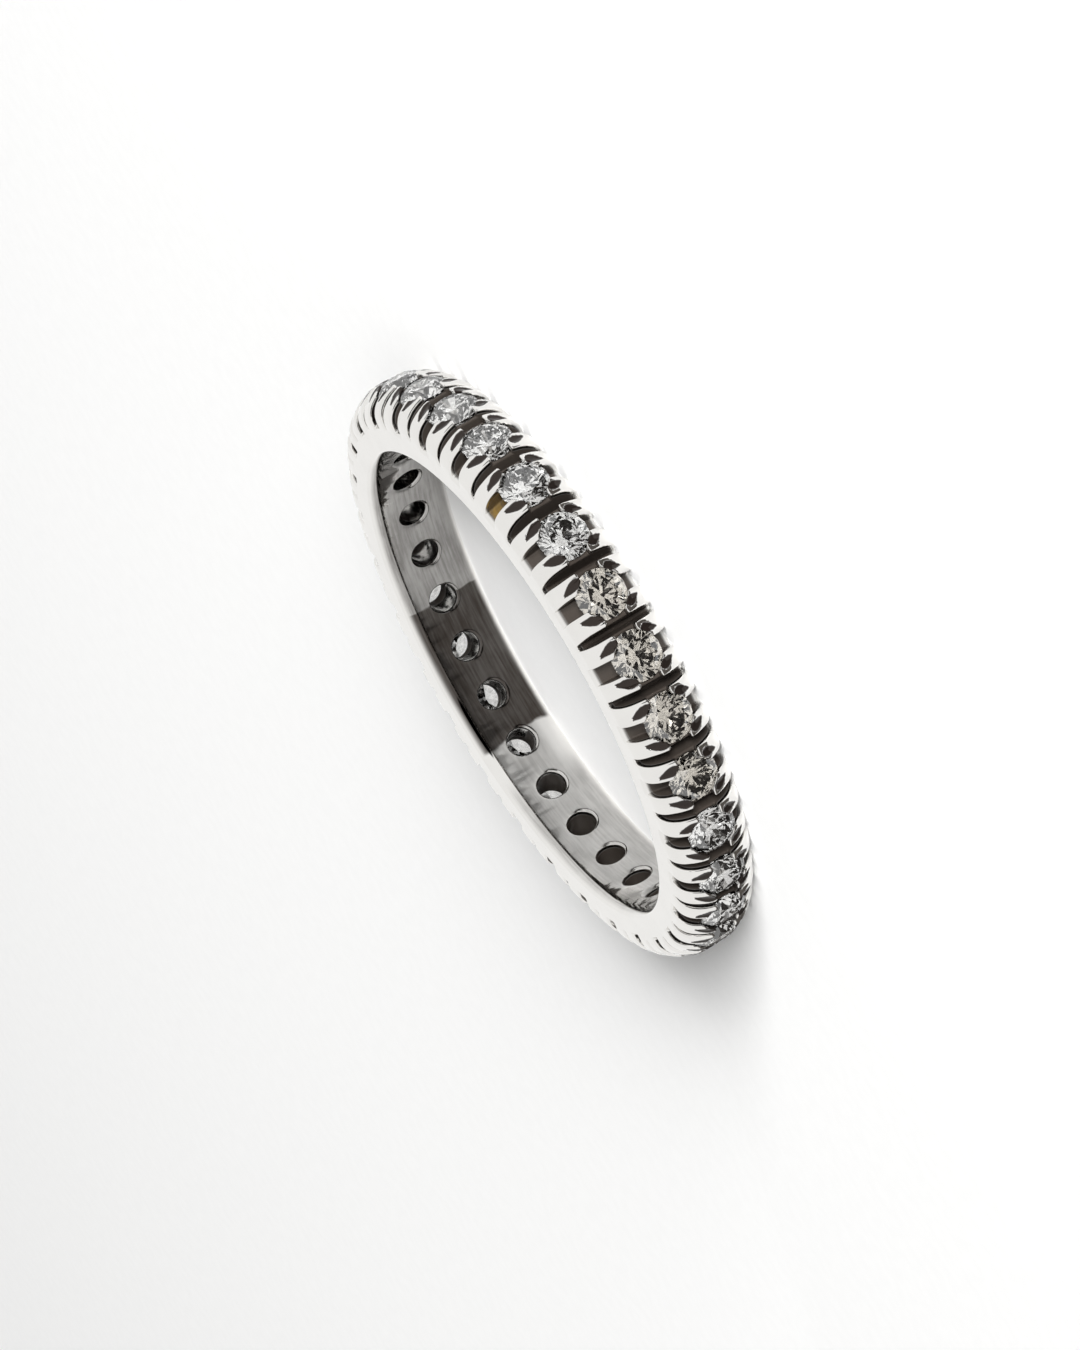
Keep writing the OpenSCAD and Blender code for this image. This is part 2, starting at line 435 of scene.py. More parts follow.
        solid = soft_max(solid, -self.saw(radius, angle, height), rounding)
        solid = soft_max(solid, -self.notch(stone, out, along, height), rounding)
        solid = soft_max(solid, -mouth, sizes.tip_round)
        solid = soft_max(solid, -between_tips, sizes.tip_round)
        solid = soft_max(solid, -self.seat(out, from_axis), SEAT_ROUND)
        return soft_max(solid, -hole, sizes.hole_round)

    def slope(self, points):
        """The distance's gradient, which points straight out of the metal."""
        step = 0.002 * MM
        slopes = np.empty_like(points)
        for axis in range(3):
            offset = np.zeros(3)
            offset[axis] = step
            slopes[:, axis] = (
                self.distance(points + offset) - self.distance(points - offset)
            ) / (2 * step)
        return slopes

    def settle(self, points, rounds, most):
        """Moves points on to the surface, each time by no more than most."""
        least_steepness = 0.25
        for _ in range(rounds):
            slopes = self.slope(points)
            steepness = np.maximum((slopes**2).sum(axis=1), least_steepness)
            move = -(self.distance(points) / steepness)[:, None] * slopes
            length = np.linalg.norm(move, axis=1)[:, None]
            points = points + move * np.minimum(1, most / np.maximum(length, TINY))
        return points


def surface_net(field, angles, radii, heights):
    """Quads round the zero level of a field on a grid that closes on itself in the angle."""
    count_a, count_r, count_z = field.shape
    inside = field < 0
    cells, places, quads = [], [], []

    def cell(a, r, z):
        """Number of the cell between a grid point and the next ones along each axis."""
        return ((a % count_a) * (count_r - 1) + r) * (count_z - 1) + z

    def gather(before, after, crossing, axis, around):
        """Adds a quad for each grid edge that crosses the surface, from its four cells."""
        a, r, z = crossing
        keep = np.ones(len(a), bool)
        if axis != 1:
            keep &= (r > 0) & (r < count_r - 1)
        if axis != 2:
            keep &= (z > 0) & (z < count_z - 1)
        a, r, z = a[keep], r[keep], z[keep]
        first, second = before[a, r, z], after[a, r, z]
        share = first / (first - second)
        place = np.stack([a, r, z], axis=1).astype(float)
        place[:, axis] += share
        corners = np.stack([cell(a + i, r + j, z + k) for i, j, k in around], axis=1)
        quads.append(np.where((first > 0)[:, None], corners, corners[:, ::-1]))
        for corner, (i, _, _) in enumerate(around):
            own = place.copy()
            own[:, 0] -= a + i
            cells.append(corners[:, corner])
            places.append(own)

    ahead = np.roll(field, -1, axis=0)
    gather(
        field, ahead, np.nonzero(inside != (ahead < 0)), 0,
        [(0, -1, -1), (0, 0, -1), (0, 0, 0), (0, -1, 0)],
    )
    gather(
        field[:, :-1], field[:, 1:], np.nonzero(inside[:, :-1] != inside[:, 1:]), 1,
        [(-1, 0, -1), (-1, 0, 0), (0, 0, 0), (0, 0, -1)],
    )
    gather(
        field[:, :, :-1], field[:, :, 1:], np.nonzero(inside[:, :, :-1] != inside[:, :, 1:]), 2,
        [(-1, -1, 0), (0, -1, 0), (0, 0, 0), (-1, 0, 0)],
    )
    used, owner = np.unique(np.concatenate(cells), return_inverse=True)
    shares = np.bincount(owner)
    mean = [np.bincount(owner, column) / shares for column in np.concatenate(places).T]
    angle = (used // ((count_r - 1) * (count_z - 1)) + mean[0]) * (angles[1] - angles[0])
    radius = np.interp(mean[1], np.arange(count_r), radii)
    height = np.interp(mean[2], np.arange(count_z), heights)
    points = np.stack([radius * np.cos(angle), radius * np.sin(angle), height], axis=1)
    return points, np.searchsorted(used, np.concatenate(quads))


def mesh_from(name, points, faces):
    """A mesh from arrays of points and of faces with equal numbers of corners."""
    mesh = bpy.data.meshes.new(name)
    corners = faces.shape[1]
    mesh.vertices.add(len(points))
    mesh.vertices.foreach_set("co", points.astype(np.float32).ravel())
    mesh.loops.add(faces.size)
    mesh.loops.foreach_set("vertex_index", faces.astype(np.int32).ravel())
    mesh.polygons.add(len(faces))
    mesh.polygons.foreach_set("loop_start", np.arange(len(faces), dtype=np.int32) * corners)
    mesh.update(calc_edges=True)
    mesh.validate()
    return mesh


def mesh_of(name, points, faces):
    """A mesh from lists of points and of faces with any number of corners."""
    mesh = bpy.data.meshes.new(name)
    mesh.from_pydata(points, [], faces)
    return mesh


def add_piece(name, data):
    """A new object in the scene with a mesh, a light or a camera."""
    piece = bpy.data.objects.new(name, data)
    bpy.context.scene.collection.objects.link(piece)
    return piece


def points_of(mesh):
    """A mesh's points as an array with a row for each."""
    points = np.empty(len(mesh.vertices) * 3, np.float32)
    mesh.vertices.foreach_get("co", points)
    return points.reshape(-1, 3).astype(float)


def thinned(piece, most_triangles):
    """The piece's mesh in triangles, fewer where the surface is flat."""
    triangles = sum(len(face.vertices) - 2 for face in piece.data.polygons)
    thin = piece.modifiers.new("thin", "DECIMATE")
    thin.ratio = min(1, most_triangles / triangles)
    thin.use_collapse_triangulate = True
    ready = piece.evaluated_get(bpy.context.evaluated_depsgraph_get())
    mesh = bpy.data.meshes.new_from_object(ready)
    piece.modifiers.remove(thin)
    return mesh


def build_band(settings):
    """Meshes the band's distance field, thins the mesh and shades it by the field's slope."""
    sizes = settings.band
    form = BandForm(sizes, settings.stones)
    step = sizes.grain
    most_move, first_rounds, last_rounds = 0.3 * step, 3, 2
    per_stone = round(TURN * form.side_at / STONE_COUNT / step)
    angles = np.arange(per_stone * STONE_COUNT) * TURN / (per_stone * STONE_COUNT)
    # The grid starts and ends a little outside the metal
    radii = np.arange(FINGER_RADIUS - 1.5 * step, form.top + 2 * step, step)
    layers = 2 * math.ceil(HALF_WIDTH / step + 1.5)
    heights = MIDDLE + (np.arange(layers + 1) - layers / 2) * step
    a, r, z = np.meshgrid(angles, radii, heights, indexing="ij")
    field = form.distance(np.stack([r * np.cos(a), r * np.sin(a), z], axis=-1))
    points, quads = surface_net(field, angles, radii, heights)
    rough = mesh_from("band_rough", form.settle(points, first_rounds, most_move), quads)
    piece = add_piece("band_metal", rough)
    mesh = thinned(piece, sizes.most_triangles)
    piece.data = mesh
    bpy.data.meshes.remove(rough)
    mesh.name = "band_metal"
    points = form.settle(points_of(mesh), last_rounds, most_move)
    points = np.clip(points, BAND_LOW, BAND_HIGH)
    mesh.vertices.foreach_set("co", points.astype(np.float32).ravel())
    slopes = form.slope(points)
    slopes /= np.maximum(np.linalg.norm(slopes, axis=1)[:, None], TINY)
    mesh.polygons.foreach_set("use_smooth", np.ones(len(mesh.polygons), bool))
    mesh.update()
    mesh.normals_split_custom_set_from_vertices(slopes.tolist())
    return piece


# The brilliants


def brilliant_mesh(name, proportions):
    """A 57 facet brilliant with a culet flat, its table up and its girdle's foot on Z = 0."""
    table_r = STONE_RADIUS * proportions.table_share
    crown_h = 2 * STONE_RADIUS * proportions.crown_share
    girdle_h = 2 * STONE_RADIUS * proportions.girdle_share
    pavilion_h = TABLE_AT - CULET_AT - crown_h - girdle_h
    mains = 8
    halves = 2 * mains
    half = TURN / halves
    crown_steep = crown_h / (STONE_RADIUS - table_r)
    star_steep = math.tan(proportions.star_slope)
    star_in = table_r * math.cos(half)
    star_r = (table_r * crown_steep - star_in * star_steep) / (
        math.cos(half) * crown_steep - star_steep
    )
    star_drop = (star_r - star_in) * star_steep
    pavilion_steep = pavilion_h / STONE_RADIUS
    lower_r = STONE_RADIUS * (1 - proportions.lower_half_share)
    lower_h = pavilion_h - lower_r * math.cos(half) * pavilion_steep
    culet_r = proportions.culet_radius
    culet_h = pavilion_h - culet_r * math.cos(half) * pavilion_steep

    def ring(count, radius, height, turn=0.0):
        """Points at equal angles round the stone's axis."""
        angles = [turn + k * TURN / count for k in range(count)]
        return [(radius * math.cos(angle), radius * math.sin(angle), height) for angle in angles]

    top = girdle_h + crown_h
    points = ring(mains, table_r, top)
    points += ring(mains, star_r, top - star_drop, half)
    points += ring(halves, STONE_RADIUS, girdle_h)
    points += ring(halves, STONE_RADIUS, 0)
    points += ring(mains, lower_r, -lower_h, half)
    points += ring(mains, culet_r, -culet_h, half)
    # Where each ring starts among the points
    table, star, upper = 0, mains, 2 * mains
    lower, tip = upper + halves, upper + 2 * halves
    culet = tip + mains
    faces = [tuple(table + k for k in range(mains))]
    for k in range(mains):
        after, before = (k + 1) % mains, (k - 1) % mains
        main, mid, main_after = 2 * k, 2 * k + 1, 2 * after
        faces.append((table + k, star + k, table + after))
        faces.append((table + k, star + before, upper + main, star + k))
        faces.append((star + k, upper + main, upper + mid))
        faces.append((star + k, upper + mid, upper + main_after))
        faces.append((lower + mid, lower + main, tip + k))
        faces.append((lower + main_after, lower + mid, tip + k))
        faces.append((lower + main, tip + before, culet + before, culet + k, tip + k))
    for k in range(halves):
        after = (k + 1) % halves
        faces.append((upper + k, lower + k, lower + after, upper + after))
    faces.append(tuple(culet + mains - 1 - k for k in range(mains)))
    mesh = mesh_of(name, points, faces)
    mesh.validate()
    return mesh


def build_stones(settings):
    """A brilliant for each seat, turned and leaned a little as a setter leaves it. A leaned
    stone sits deeper, so that its table's edge rises no higher than a straight one's."""
    proportions = settings.stones
    hand = np.random.default_rng(proportions.seed)
    girdle_at = TABLE_AT - 2 * STONE_RADIUS * (
        proportions.crown_share + proportions.girdle_share
    )
    pieces = []
    for k, node in enumerate(STONE_NODES):
        turn = hand.uniform(0, TURN / 8)
        lean = hand.uniform(-1, 1, 2) * proportions.tilt
        sink = STONE_RADIUS * proportions.table_share * math.hypot(*lean)
        mesh = brilliant_mesh(node, proportions)
        place = (
            Matrix.Translation((0, 0, MIDDLE))
            @ Matrix.Rotation(k * PITCH, 4, "Z")
            @ Matrix.Translation((girdle_at - sink, 0, 0))
            @ Matrix.Rotation(math.pi / 2 + lean[0], 4, "Y")
            @ Matrix.Rotation(lean[1], 4, "X")
            @ Matrix.Rotation(turn, 4, "Z")
        )
        mesh.transform(place)
        pieces.append(add_piece("brilliant" + node.removeprefix("stone"), mesh))
    return pieces


# Materials


class Nodes:
    """Adds nodes to a tree and links them in one line each."""

    def __init__(self, tree):
        self.tree = tree
        tree.nodes.clear()

    def add(self, kind, inputs=None, **fields):
        """A new node with its fields set and its inputs fed."""
        node = self.tree.nodes.new(kind)
        for field, value in fields.items():
            setattr(node, field, value)
        for socket, value in (inputs or {}).items():
            self.feed(node.inputs[socket], value)
        return node

    def feed(self, socket, value):
        """Links an input to an output or to a node's first output, or sets its value."""
        if isinstance(value, bpy.types.NodeSocket):
            self.tree.links.new(value, socket)
        elif isinstance(value, bpy.types.Node):
            self.tree.links.new(value.outputs[0], socket)
        else:
            socket.default_value = value

    def group(self, name, inputs):
        """The outputs of a node group."""
        return self.add("ShaderNodeGroup", inputs, node_tree=bpy.data.node_groups[name]).outputs

    def math(self, operation, *values, clamp=False):
        """The result of one step of arithmetic."""
        node = self.add("ShaderNodeMath", operation=operation, use_clamp=clamp)
        for socket, value in zip(node.inputs, values):
            self.feed(socket, value)
        return node.outputs[0]

    def plus(self, a, b):
        """The sum of two values."""
        return self.math("ADD", a, b)

    def minus(self, a, b):
        """The first value less the second."""
        return self.math("SUBTRACT", a, b)

    def times(self, a, b):
        """The product of two values."""
        return self.math("MULTIPLY", a, b)

    def past(self, value, edge):
        """How far a value in millimetres lies past an edge in metres."""
        return self.minus(value, edge / MM)

    def hypot(self, a, b):
        """The length of a vector with two parts."""
        return self.math("SQRT", self.plus(self.times(a, a), self.times(b, b)))

    def remap(self, value, low, high, to_low=0.0, to_high=1.0):
        """Runs smoothly from to_low, at low and below it, to to_high, at high and above."""
        limits = {"From Min": low, "From Max": high, "To Min": to_low, "To Max": to_high}
        node = self.add(
            "ShaderNodeMapRange", {"Value": value, **limits}, interpolation_type="SMOOTHSTEP"
        )
        return node.outputs["Result"]

    def mix(self, share, first, second):
        """The first colour, or the second where the share is 1."""
        node = self.add("ShaderNodeMix", data_type="RGBA")
        # The colour sockets come after those for numbers and vectors
        for socket, value in ((0, share), (6, first), (7, second)):
            self.feed(node.inputs[socket], value)
        return node.outputs[2]


def colour(values, shade=1.0):
    """An opaque colour, at a share of its brightness."""
    return (*(part * shade for part in values), 1.0)


def new_material(name):
    """A material with an empty tree to add nodes to."""
    material = bpy.data.materials.new(name)
    material.use_nodes = True
    return material, Nodes(material.node_tree)


def finish_material(nodes, inputs):
    """Adds a material's one shader and its output."""
    shader = nodes.add("ShaderNodeBsdfPrincipled", inputs)
    nodes.add("ShaderNodeOutputMaterial", {"Surface": shader})


def new_group(name, inputs, outputs):
    """A shader node group with inputs {name: default} and outputs {name: kind}."""
    group = bpy.data.node_groups.new(name, "ShaderNodeTree")
    nodes = Nodes(group)
    for socket, default in inputs.items():
        kind = "NodeSocketVector" if isinstance(default, tuple) else "NodeSocketFloat"
        made = group.interface.new_socket(socket, in_out="INPUT", socket_type=kind)
        made.default_value = default
    for socket, kind in outputs.items():
        group.interface.new_socket(socket, in_out="OUTPUT", socket_type=kind)
    return nodes, nodes.add("NodeGroupInput"), nodes.add("NodeGroupOutput")


def hairline_group():
    """Fine polishing lines and the faint cloudiness of handling. Both run from 0 to 1, but are
    mostly between 0.3 and 0.7, so the ranges that pick from them lie there."""
    nodes, given, made = new_group(
        "hairlines",
        {
            "Vector": (0.0, 0.0, 0.0),
            "Grain vector": (0.0, 0.0, 0.0),
            "Line spacing": 0.05,
            "Haze size": 0.8,
        },
        {"Lines": "NodeSocketFloat", "Haze": "NodeSocketFloat"},
    )
    for result, place, spacing, texture in (
        ("Lines", "Grain vector", "Line spacing", {"Detail": 4.0, "Roughness": 0.6}),
        ("Haze", "Vector", "Haze size", {"Detail": 5.0, "Roughness": 0.55}),
    ):
        scale = nodes.math("DIVIDE", 1.0, given.outputs[spacing])
        noise = nodes.add(
            "ShaderNodeTexNoise", {"Vector": given.outputs[place], "Scale": scale, **texture}
        )
        nodes.feed(made.inputs[result], noise)


def millimetres(nodes):
    """Object coordinates in millimetres."""
    place = nodes.add("ShaderNodeTexCoord").outputs["Object"]
    return nodes.add("ShaderNodeVectorMath", {0: place, 1: [1 / MM] * 3}, operation="MULTIPLY")


def depth_in_blank(nodes, form, radius, across):
    """Depth under the outside of the blank, whose section BandForm has too."""
    sizes = form.sizes
    over_dome = nodes.past(radius, form.dome_at)
    dome = nodes.minus(form.dome_radius / MM, nodes.hypot(over_dome, across))
    shoulder = nodes.minus(
        sizes.shoulder_radius / MM,
        nodes.hypot(
            nodes.math("MAXIMUM", nodes.past(radius, form.side_at), 0.0),
            nodes.math("MAXIMUM", nodes.past(across, form.shoulder_z), 0.0),
        ),
    )
    inner = nodes.minus(
        form.ease_radius / MM,
        nodes.hypot(
            nodes.math("MINIMUM", nodes.past(radius, FINGER_RADIUS + form.ease_radius), 0.0),
            nodes.math("MAXIMUM", nodes.past(across, HALF_WIDTH - sizes.ease_width), 0.0),
        ),
    )
    slant = form.shoulder_z / (form.side_at - form.dome_at)
    under_dome = nodes.math("LESS_THAN", across, nodes.times(over_dome, slant))
    outer = nodes.add("ShaderNodeMix", {0: under_dome, 2: shoulder, 3: dome})
    return nodes.math("MINIMUM", outer, inner)


def depth_in_hollow(nodes, form, radius, angle, across, upper):
    """How far a point lies inside the hollow of a claw, whose shape BandForm has too. Under
    the girdles it is always below zero."""
    sizes = form.sizes
    steps = nodes.math("DIVIDE", angle, PITCH)
    part = nodes.math("ABSOLUTE", nodes.minus(steps, nodes.math("ROUND", steps)))
    aside = nodes.past(nodes.times(part, nodes.times(radius, PITCH)), sizes.hollow_aside)
    beyond = nodes.past(across, sizes.hollow_across)
    cos, sin = math.cos(sizes.hollow_turn), math.sin(sizes.hollow_turn)
    lengths = sizes.low_hollow_length / 2 / MM, sizes.hollow_length / 2 / MM
    half_length = nodes.remap(upper, 0.0, 1.0, *lengths)
    point = nodes.remap(upper, 0.0, 1.0, sizes.low_hollow_point, sizes.hollow_point)
    out = nodes.plus(nodes.times(beyond, cos), nodes.times(aside, -sin))
    along = nodes.math("DIVIDE", out, half_length)
    beside = nodes.math("ABSOLUTE", nodes.plus(nodes.times(aside, cos), nodes.times(beyond, sin)))
    bow = nodes.math(
        "POWER", nodes.math("MAXIMUM", nodes.minus(1.0, nodes.times(along, along)), 0.0), point
    )
    width = nodes.times(bow, nodes.minus(1.0, nodes.times(along, sizes.hollow_taper)))
    inside = nodes.minus(nodes.times(width, sizes.hollow_width / 2 / MM), beside)
    on_claw = nodes.math("GREATER_THAN", radius, form.girdle_at / MM)
    return nodes.plus(inside, nodes.minus(on_claw, 1.0))


def zones_group(settings):
    """Where a point of the band is, in millimetres and radians: its depth under the blank's
    outside, its distance from the finger hole's wall, its angle round the band, its distance
    from the middle plane, whether it is on the upper side, how far it is inside a claw's
    hollow, and a vector that runs slowly round the band, for polishing lines."""
    form = BandForm(settings.band, settings.stones)
    line_stretch = 14
    results = ("Depth", "From hole", "Angle", "Across", "Upper side", "Hollow")
    kinds = dict.fromkeys(results, "NodeSocketFloat")
    nodes, given, made = new_group(
        "band_zones", {"Vector": (0.0, 0.0, 0.0)}, {**kinds, "Round": "NodeSocketVector"}
    )
    place = nodes.add("ShaderNodeSeparateXYZ", {0: given.outputs["Vector"]}).outputs
    radius = nodes.hypot(place["X"], place["Y"])
    across = nodes.math("ABSOLUTE", nodes.past(place["Z"], MIDDLE))
    angle = nodes.math("ARCTAN2", place["Y"], place["X"])
    upper = nodes.math("GREATER_THAN", place["Z"], MIDDLE / MM)
    slow = nodes.math("DIVIDE", FINGER_RADIUS / MM / line_stretch, radius)
    slow_place = {
        "X": nodes.times(place["X"], slow),
        "Y": nodes.times(place["Y"], slow),
        "Z": nodes.plus(place["Z"], radius),
    }
    for result, value in {
        "Depth": depth_in_blank(nodes, form, radius, across),
        "From hole": nodes.past(radius, FINGER_RADIUS),
        "Angle": angle,
        "Across": across,
        "Upper side": upper,
        "Hollow": depth_in_hollow(nodes, form, radius, angle, across, upper),
        "Round": nodes.add("ShaderNodeCombineXYZ", slow_place),
    }.items():
        nodes.feed(made.inputs[result], value)


def depth_of_cuts(nodes, sizes, zones):
    """1 deep in the cuts and 0 at the outside; it places the dirt, the painted shade and the roughness
    of the cuts. The drilled holes count for less, except between the end of the dark stretch and 180
    degrees."""
    cut_depths, hole_depths, lighter_share, short_way = (0.09, 0.24), (0.85, 1.0), 0.75, 0.01
    end = sizes.dark_stretch_to
    near_wall = nodes.remap(zones["From hole"], *hole_depths, 1.0, 0.0)
    before_end = nodes.remap(zones["Angle"], end, end + short_way, 1.0, 0.0)
    lighter_holes = nodes.times(nodes.times(near_wall, before_end), lighter_share)
    return nodes.times(nodes.remap(zones["Depth"], *cut_depths), nodes.minus(1.0, lighter_holes))


def wall_tarnish_and_dark_reflection(nodes, sizes, zones, haze, streaks):
    """Share of the dark overlay on the wall of the finger hole: a nearly black painted dark reflection
    on the dark stretch, and a thin film elsewhere. The film is thicker ahead of the stretch, and taken
    off near the side faces just past it, which leaves a painted highlight there."""
    thin, thicker_by, black = (0.25, 0.45), 0.27, (0.9, 0.99)
    wall_depths, side_zone = (0.02, 0.14), (0.5, 0.95)
    thicker_from, thickest_from = math.radians(-170), math.radians(-90)
    highlight_past, highlight_gone_past = 0.12, 0.3
    edge, waviness = math.radians(0.6), 0.07
    start, end = sizes.dark_stretch_from, sizes.dark_stretch_to
    angle = zones["Angle"]
    uneven = nodes.plus(angle, nodes.times(nodes.minus(haze, 0.5), waviness))
    after_start = nodes.remap(uneven, start - edge, start + edge)
    before_end = nodes.remap(uneven, end - edge, end + edge, 1.0, 0.0)
    stretch = nodes.times(after_start, before_end)
    thicker = nodes.times(
        nodes.remap(angle, thicker_from, thickest_from),
        nodes.remap(uneven, start + edge, start + 3 * edge, 1.0, 0.0),
    )
    # Painted highlight: near the side faces just past the stretch, the film is taken off
    beside = nodes.remap(angle, end + highlight_past, end + highlight_gone_past, 1.0, 0.0)
    near_sides = nodes.remap(zones["Across"], *side_zone)
    painted_highlight = nodes.times(nodes.times(after_start, beside), near_sides)
    left = nodes.minus(1.0, nodes.times(painted_highlight, nodes.minus(1.0, thicker)))
    thin_film = nodes.plus(
        nodes.remap(streaks, 0.35, 0.65, *thin), nodes.times(thicker, thicker_by)
    )
    # On the dark stretch the overlay is a painted dark reflection, nearly black
    painted_dark_reflection = nodes.times(stretch, nodes.remap(streaks, 0.3, 0.7, *black))
    film = nodes.math("MAXIMUM", nodes.times(thin_film, left), painted_dark_reflection)
    on_wall = nodes.remap(zones["From hole"], *wall_depths, 1.0, 0.0)
    return nodes.times(on_wall, film)


def amber_stain(nodes, sizes, zones, streaks, recess):
    """Share of the amber stain, which lies in one notch on the upper side."""
    inner, outer, middle = 0.02, 0.045, sizes.stain_at
    along = nodes.times(
        nodes.remap(zones["Angle"], middle - outer, middle - inner),
        nodes.remap(zones["Angle"], middle + inner, middle + outer, 1.0, 0.0),
    )
    patchy = nodes.times(nodes.remap(streaks, 0.35, 0.6, 0.3, 1.0), recess)
    return nodes.times(nodes.times(along, patchy), zones["Upper side"])


def band_material(settings):
    """Polished white gold with hairlines, dirt and painted shade in the cuts, painted dark reflections
    in the claws' hollows and on the finger hole's dark stretch, and a painted highlight just past it.
    """
    colours, sizes = settings.colours, settings.band
    haze_part, line_part, hazy_shade = 0.4, 0.6, 0.96
    ragged_by, recess_roughness, dull_hollow = 0.09, 0.3, 0.3
    material, nodes = new_material("polished_white_gold")
    place = millimetres(nodes)
    zones = nodes.group("band_zones", {"Vector": place})
    wear = nodes.group(
        "hairlines",
        {"Vector": place, "Grain vector": zones["Round"], "Line spacing": 0.09, "Haze size": 1.3},
    )
    lines, haze = wear["Lines"], wear["Haze"]
    streaks = nodes.plus(nodes.times(haze, haze_part), nodes.times(lines, line_part))
    recess = depth_of_cuts(nodes, sizes, zones)
    # Dirt and painted shade in the cuts: the deeper a point lies, the darker
    dirt_and_shade_share = nodes.times(recess, nodes.remap(haze, 0.25, 0.7, 0.93, 1.0))
    ragged = nodes.times(nodes.minus(lines, 0.5), ragged_by)
    # Painted dark reflections in the hollows of the claws
    hollow = nodes.remap(nodes.plus(zones["Hollow"], ragged), -0.01, 0.035)
    # The larger darkening of two: the cuts' dirt and painted shade, and the wall film with its painted
    # dark reflection
    dark = nodes.math("MAXIMUM", dirt_and_shade_share, wall_tarnish_and_dark_reflection(nodes, sizes, zones, haze, streaks))
    amber = amber_stain(nodes, sizes, zones, streaks, recess)

    white = colours.white_gold
    base = nodes.mix(nodes.remap(haze, 0.35, 0.75), colour(white), colour(white, hazy_shade))
    for share, film in (
        (dark, colours.wall_tarnish_and_reflection),
        (dirt_and_shade_share, colours.cut_dirt_and_shade),
        (amber, colours.amber),
        (hollow, colours.hollow_painted_reflection),
    ):
        base = nodes.mix(share, base, colour(film))
    metallic = nodes.math(
        "SUBTRACT",
        nodes.remap(dirt_and_shade_share, 0.3, 1.0, 1.0, 0.2),
        nodes.times(nodes.minus(hollow, dirt_and_shade_share), dull_hollow),
        clamp=True,
    )
    polish = nodes.remap(haze, 0.3, 0.8, 0.05, 0.11)
    bump = nodes.add(
        "ShaderNodeBump", {"Strength": 0.12, "Distance": 0.004 * MM, "Height": lines}
    )
    roughness = nodes.plus(polish, nodes.times(recess, recess_roughness))
    finish_material(
        nodes,
        {"Base Color": base, "Metallic": metallic, "Roughness": roughness, "Normal": bump},
    )
    return material


def diamond_material(name, body):
    """Diamond with faint clouds and a thin film of handling on its facets."""
    cloud_shade = 0.76
    material, nodes = new_material(name)
    place = millimetres(nodes)
    wear = nodes.group(
        "hairlines",
        {"Vector": place, "Grain vector": place, "Line spacing": 0.12, "Haze size": 0.7},
    )
    cloud = nodes.add(
        "ShaderNodeTexNoise",
        {"Vector": place, "Scale": 3.2, "Detail": 4.0, "Roughness": 0.65},
    )
    clouded = nodes.mix(
        nodes.remap(cloud.outputs[0], 0.42, 0.66), colour(body), colour(body, cloud_shade)
    )
    finish_material(
        nodes,
        {
            "Base Color": clouded,
            "Metallic": 0.0,
            "Roughness": nodes.remap(wear["Haze"], 0.45, 0.8, 0.0, 0.03),
            "IOR": 2.42,
            "Transmission Weight": 1.0,
        },
    )
    return material


def floor_material(colours):
    """Matt white card with a barely visible tooth."""
    tooth_shade = 0.985
    material, nodes = new_material("white_card")
    tooth = nodes.add(
        "ShaderNodeTexNoise", {"Vector": millimetres(nodes), "Scale": 1.6, "Detail": 5.0}
    ).outputs[0]
    white = colours.floor_white
    base = nodes.mix(nodes.remap(tooth, 0.3, 0.7), colour(white), colour(white, tooth_shade))
    bump = nodes.add(
        "ShaderNodeBump", {"Strength": 0.05, "Distance": 0.02 * MM, "Height": tooth}
    )
    finish_material(
        nodes, {"Base Color": base, "Roughness": 0.9, "Specular IOR Level": 0.2, "Normal": bump}
    )
    return material


def card_material(colours):
    """Black paper with a faint fibre."""
    material, nodes = new_material("black_paper")
    fibre = nodes.add("ShaderNodeTexNoise", {"Vector": millimetres(nodes), "Scale": 3.0})
    base = nodes.mix(
        fibre.outputs[0], colour(colours.paper_black), colour(colours.paper_fibre)
    )
    finish_material(nodes, {"Base Color": base, "Roughness": 0.9})
    return material


# The studio


def build_floor(colours):
    """A wide square of matt white card under the ring."""
    half = 2.0
    corners = [(-half, -half, 0), (half, -half, 0), (half, half, 0), (-half, half, 0)]
    floor = add_piece("studio_floor", mesh_of("studio_floor", corners, [(0, 1, 2, 3)]))
    floor.data.materials.append(floor_material(colours))


def build_card(studio, colours):
    """A dark card round the front of the ring, seen only in its reflections."""
    steps, span = 24, studio.card_end - studio.card_start
    points = []
    for k in range(steps + 1):
        angle = studio.view_azimuth + studio.card_start + span * k / steps
        for radius in (studio.card_from, studio.card_to):
            points.append((radius * math.cos(angle), radius * math.sin(angle), studio.card_height))
    faces = [(2 * k, 2 * k + 1, 2 * k + 3, 2 * k + 2) for k in range(steps)]
    card = add_piece("dark_card", mesh_of("dark_card", points, faces))
    card.data.materials.append(card_material(colours))
    card.visible_camera = False
    card.visible_diffuse = False
    card.visible_transmission = False
    card.visible_shadow = False


def towards(azimuth, elevation):
    """Unit vector in a direction round and above the ring."""
    return Vector(
        (
            math.cos(azimuth) * math.cos(elevation),
            math.sin(azimuth) * math.cos(elevation),
            math.sin(elevation),
        )
    )


